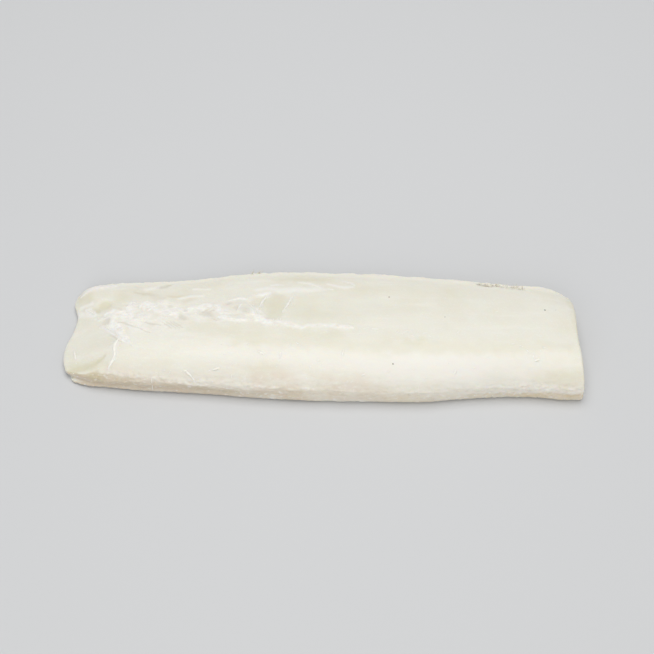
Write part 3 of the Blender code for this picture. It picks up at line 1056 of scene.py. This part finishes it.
# %% [markdown]
# ### Threads with a place of their own
#
# A few threads of tissue are easy to recognise: the one that hangs down the slanting cut, the walls
# of the bare flakes and the streaks above them. Short white dashes lie on the crest and below it.
# Each is drawn as a curve in plan. The tree cuts it into short steps, shakes it a little, lets it
# fall on the flesh with a ray, and gives it a body. Points whose ray misses the flesh are dropped.


# %% The thread tree
ABOVE = 60  # how high, in millimetres, the curves start
FALL = 200 * MM
WAVES_PER_METRE = 300.0
SIDES = 10
FLATNESS = 0.45


def thread_tree():
    sockets = {"Flesh": "NodeSocketObject", "Step": "NodeSocketFloat", "Shake": "NodeSocketFloat"}
    group, tree, given = geometry_tree("threads", {**sockets, "Material": "NodeSocketMaterial"})
    steps = {"Curve": given["Geometry"], "Length": given["Step"]}
    curve = tree.add("GeometryNodeResampleCurve", {"mode": "LENGTH"}, steps)
    where = tree.add("GeometryNodeInputPosition")
    waves = {"Vector": where, "Scale": WAVES_PER_METRE, "Detail": 2.0}
    shake = tree.add("ShaderNodeTexNoise", inputs=waves, out="Color")
    middle = tree.add("ShaderNodeVectorMath", {"operation": "SUBTRACT"}, {0: shake, 1: (0.5, 0.5, 0.5)})
    nudge = tree.add("ShaderNodeVectorMath", {"operation": "SCALE"}, {0: middle, "Scale": given["Shake"]})
    shaken = tree.add("GeometryNodeSetPosition", inputs={"Geometry": curve, "Offset": nudge})
    target = tree.add("GeometryNodeObjectInfo", inputs={"Object": given["Flesh"]}, out="Geometry")
    ray = {"Target Geometry": target, "Ray Direction": (0, 0, -1), "Ray Length": FALL}
    hit = tree.add("GeometryNodeRaycast", inputs=ray)
    missed = tree.add("FunctionNodeBooleanMath", {"operation": "NOT"}, [hit.other("Is Hit")])
    kept = {"Geometry": shaken, "Selection": missed}
    kept = tree.add("GeometryNodeDeleteGeometry", {"domain": "POINT"}, kept)
    landed = {"Geometry": kept, "Position": hit.other("Hit Position")}
    landed = tree.add("GeometryNodeSetPosition", inputs=landed)
    upright = tree.add("GeometryNodeSetCurveNormal", {"mode": "Z_UP"}, {"Curve": landed})
    ring = tree.add("GeometryNodeCurvePrimitiveCircle", inputs={"Resolution": SIDES, "Radius": 1.0})
    profile = tree.add("GeometryNodeTransform", inputs={"Geometry": ring, "Scale": (1.0, FLATNESS, 1.0)})
    thickness = tree.add("GeometryNodeInputRadius")
    body = {"Curve": upright, "Profile Curve": profile, "Scale": thickness, "Fill Caps": True}
    end_with(tree, tree.add("GeometryNodeCurveToMesh", inputs=body), given["Material"])
    return group


threads = thread_tree()
print("thread tree:", len(threads.nodes), "nodes")


# %% Where the threads lie
THREADS = [
    # A path's points are X, Y and half-thickness.
    [(-133.6, -13.0, 0.3), (-134.8, -16, 0.9), (-136.3, -20.4, 1.5), (-135.4, -25, 0.9),
     (-136.1, -28.5, 0.9), (-137.6, -31.3, 1.2), (-139.4, -34.7, 0.5)],
    [(-165.0, -15.5, 0.4), (-164.0, -19, 1.0), (-163.2, -22, 0.4)],
    [(-41.2, 9.5, 0.3), (-40.0, 13.8, 0.55), (-38.0, 18.0, 0.6), (-34.6, 22.8, 0.3)],
    [(-17.8, 23.6, 0.3), (-20.4, 17, 0.6), (-23.0, 10.6, 0.6), (-25.6, 5, 0.3)],
    [(-16, 35.8, 0.2), (-9, 34.6, 0.45), (-3.4, 32.2, 0.5), (2, 27.3, 0.2)],
    [(-34, 32, 0.2), (-30, 33.3, 0.4), (-25.5, 33, 0.2)],
    [(2, 27, 0.2), (5, 27.6, 0.4), (8.5, 27.4, 0.2)],
    [(-148.5, 0.7, 0.2), (-145.2, 0.3, 0.6), (-141.6, -2.8, 0.5), (-138.3, -6.8, 0.3),
     (-132.2, -12.8, 0.35), (-127.5, -17.6, 0.35), (-124, -20.5, 0.2)],
    [(-48.3, 13.5, 0.2), (-44.6, 9, 0.45), (-41.5, 5, 0.2)],
    [(-45.9, 13, 0.2), (-44.0, 9, 0.4), (-43, 4, 0.2)],
    [(-159.8, 18.4, 0.3), (-158.2, 17.0, 0.9), (-156.2, 15.6, 0.8), (-153.4, 12.6, 0.3)],
    [(15.2, 36.5, 0.2), (21.3, 34.8, 0.35), (23.3, 31.9, 0.2)],
    [(-152, 8.4, 0.2), (-149, 7.3, 0.5), (-145.4, 7.6, 0.4), (-141, 7.6, 0.2)],
    [(-117.0, 10.2, 0.2), (-113.4, 12.8, 0.5), (-110.8, 15.6, 0.5), (-108.4, 17.8, 0.2)],
    [(-130.8, 15, 0.2), (-128.8, 18.8, 0.4), (-125.6, 18.6, 0.2)],
]
DASHES = [
    # X, Y, half-length, turn in degrees and half-thickness
    (-39.5, -28.6, 2.4, -28, 0.9), (-26.4, -30.9, 2.0, 80, 0.7), (14.6, -30.1, 2.4, 82, 0.7),
    (-1.7, -34.6, 0.9, 0, 0.8), (27.6, -43.7, 1.2, 20, 0.8), (30, -9.9, 1.6, 10, 0.6),
    (36, -10.8, 2.2, -8, 0.8), (51, -13.2, 1.3, 40, 0.55), (53.8, -15.2, 1.0, -70, 0.5),
    (57, -12.4, 1.4, 30, 0.5), (60.5, -17, 1.2, -20, 0.55), (64, -13.8, 0.9, 60, 0.5),
    (68.7, -14.3, 1.2, 10, 0.5), (72, -17.5, 0.9, -35, 0.5), (90.5, -13.4, 1.8, 55, 0.7),
    (141.0, -34.0, 1.5, 15, 1.5), (138.6, -31.8, 1.0, 70, 0.8), (87.3, -41.8, 1.4, 70, 1.2),
    (131, -24.4, 1.5, -25, 0.6), (135.4, -28.5, 1.8, -50, 0.6), (126, -22.8, 1.1, 15, 0.5),
    (-102.4, -37.2, 0.9, 0, 0.7), (-98.4, -38.4, 0.9, 60, 0.6), (-85.9, -39.9, 2.4, -38, 1.3),
    (-88.3, -38.2, 1.1, 10, 1.2), (-83.2, -42.2, 1.4, -45, 0.8), (-68.2, -38.1, 2.4, 8, 1.3),
    (-72.5, -38.8, 1.1, 30, 0.6), (-58, -42.2, 1.0, 80, 0.6), (100, -39, 1.0, 20, 0.6),
    (60, -40.5, 1.2, -15, 0.7), (44, -42, 1.0, 40, 0.6), (-93, -24, 1.0, 30, 0.5),
    (-60, -23.5, 1.6, 15, 0.5), (-48, -22.5, 1.2, -20, 0.5), (-20, -24, 1.2, 70, 0.4),
    (112, -4, 1.2, -30, 0.4), (118, 6.5, 1.0, 15, 0.4), (-15, -22.8, 1.4, -40, 0.4),
    (146, -25.5, 1.4, 5, 0.5), (-26.6, -1.4, 1.4, 85, 0.5), (-28.8, -1.0, 1.0, 70, 0.4),
    (-31.2, -1.4, 1.1, 80, 0.45), (-31.1, -6.4, 1.0, 80, 0.4), (-63.4, 1.0, 1.2, 20, 0.8),
    (-110.6, -41.9, 1.2, 88, 0.5), (-118.7, -23.3, 0.8, 30, 0.5), (-13.5, -24.1, 1.0, 0, 0.4),
]
print("threads:", len(THREADS), " dashes:", len(DASHES))


# %% Lay the threads
def dash(middle_x, middle_y, half, turn, thick):
    """A short thread: three points along a line, thin at its ends."""
    dx, dy = half * math.cos(math.radians(turn)), half * math.sin(math.radians(turn))
    ends = [(-1, 0.35), (0, 1), (1, 0.35)]
    return [(middle_x + side * dx, middle_y + side * dy, share * thick) for side, share in ends]


def thread_curves(name, paths):
    """Curves above the flesh, each with its own thickness along it."""
    data = bpy.data.curves.new(name, "CURVE")
    data.dimensions = "3D"
    for path in paths:
        spline = data.splines.new("NURBS")
        spline.points.add(len(path) - 1)
        spline.use_endpoint_u, spline.order_u = True, 3
        for point, (px, py, half) in zip(spline.points, path):
            point.co = (px * MM, py * MM, ABOVE * MM, 1)
            point.radius = half * MM
    return new_object(name, data)


LAID = {
    "connective_threads": (THREADS, "thread"),
    "white_dashes": ([dash(*one) for one in DASHES], "fleck"),
}
for name, (paths, finish) in LAID.items():
    inputs = {"Flesh": flesh, "Step": 0.8 * MM, "Shake": 0.9 * MM, "Material": FINISHES[finish]}
    run_on(thread_curves(name, paths), threads, inputs)

# %% [markdown]
# ### A few dark specks
#
# Five specks of dried membrane lie on the upper surface. They are part of how this loin looks, so
# they stay, each as a small lumpy lens pressed into the flesh.

# %% Dark specks
# X, Y and half-width.
SPECKS = [
    (46.2, 20.0, 0.42), (47.0, -37.5, 0.45), (150.7, 9.2, 0.55), (82.7, 0.3, 0.30), (158.2, 9.8, 0.22),
]


def specks_on(places):
    bm = bmesh.new()
    top = flesh.evaluated_get(bpy.context.evaluated_depsgraph_get())
    for number, (px, py, half) in enumerate(places):
        _, hit, normal, _ = top.ray_cast(Vector((px, py, ABOVE)) * MM, Vector((0, 0, -1)))
        made = bmesh.ops.create_icosphere(bm, subdivisions=2, radius=half * MM)["verts"]
        turn = normal.to_track_quat("Z", "Y").to_matrix()
        for vert in made:
            lump = 1 + 0.35 * noise.noise(vert.co / (half * MM) * 1.3 + Vector((number * 5.3, 0, 0)))
            flat = Vector((vert.co.x * 1.15, vert.co.y * 0.8, vert.co.z * 0.45)) * lump
            vert.co = turn @ flat + hit
    made = new_object("dark_specks", mesh_from(bm, "dark_specks"))
    made.data.materials.append(FINISHES["speck"])
    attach(made, "root")
    return len(places)


print("dark specks:", specks_on(SPECKS))

# %% Put the helper shapes away
for helper in SHAPES.values():
    bpy.data.objects.remove(helper)
pieces = [obj.name for obj in bpy.context.scene.objects if obj.name not in frame["nodes"]]
print("pieces:", ", ".join(pieces))

# %% [markdown]
# ## Floor, camera and light
#
# Near-white food needs a floor that is pale but darker than it is. It lies a hair below the loin, so
# that no two faces share a plane. The camera looks down from the fish's thick side through a long
# lens, which keeps the far edge nearly as long as the near one. One wide soft light hangs over the
# slab and a little behind it, so that the crest catches it and the cut side falls into soft shade.

# %% Floor
FLOOR = linear(206, 207, 208)
FLOOR_DUST = linear(190, 191, 192)
FLOOR_HALF = 12
FLOOR_GAP = 0.05 * MM


def pale_floor():
    bm = bmesh.new()
    bmesh.ops.create_grid(bm, x_segments=1, y_segments=1, size=FLOOR_HALF)
    bmesh.ops.translate(bm, verts=bm.verts, vec=(0, 0, -FLOOR_GAP))
    floor = new_object("floor", mesh_from(bm, "floor"))
    made, tree, shader, where = new_finish("pale_floor")
    dust = tree.add("ShaderNodeTexNoise", inputs={"Vector": where, "Scale": 9.0, "Detail": 2.0})
    tree.join(tree.mixed(dust * 0.06, FLOOR, FLOOR_DUST), shader.inputs["Base Color"])
    shader.inputs["Roughness"].default_value = 0.75
    floor.data.materials.append(made)
    print("floor:", 2 * FLOOR_HALF, "m wide")


pale_floor()

# %% Camera
ELEVATION = math.radians(53.8)
DISTANCE = 0.9184
LENS = 73.76
SENSOR_WIDTH = 36
TARGET = Vector((4.2 * MM, 10.5 * MM, 0))


def aimed(name, data, at, target):
    """A camera or a light that stands at a place and looks at the target."""
    made = new_object(name, data)
    made.location = at
    made.rotation_euler = (target - at).to_track_quat("-Z", "Y").to_euler()
    return made


camera = bpy.data.cameras.new("camera")
camera.lens, camera.sensor_width = LENS, SENSOR_WIDTH
away = Vector((0, -math.cos(ELEVATION), math.sin(ELEVATION)))
bpy.context.scene.camera = aimed("camera", camera, TARGET + away * DISTANCE, TARGET)
print("camera", [round(v, 3) for v in bpy.context.scene.camera.location])

# %% Lights
WORLD_LIGHT = 0.45
LIGHTS = {
    # name: place, size and power
    "overhead": ((0.05, 0.25, 1.5), 1.3, 13.5),
    "fill": ((-0.3, -1.6, 0.9), 1.4, 9.0),
}
for name, (at, size, power) in LIGHTS.items():
    light = bpy.data.lights.new(name, "AREA")
    light.shape, light.size, light.energy = "DISK", size, power
    aimed(name, light, Vector(at), Vector((0, 0, 0)))

world = bpy.data.worlds.new("studio")
world.use_nodes = True
background = world.node_tree.nodes["Background"]
background.inputs["Color"].default_value = (1, 1, 1, 1)
background.inputs["Strength"].default_value = WORLD_LIGHT
bpy.context.scene.world = world
bpy.context.scene.view_settings.view_transform = "Standard"
print("lights:", ", ".join(LIGHTS))
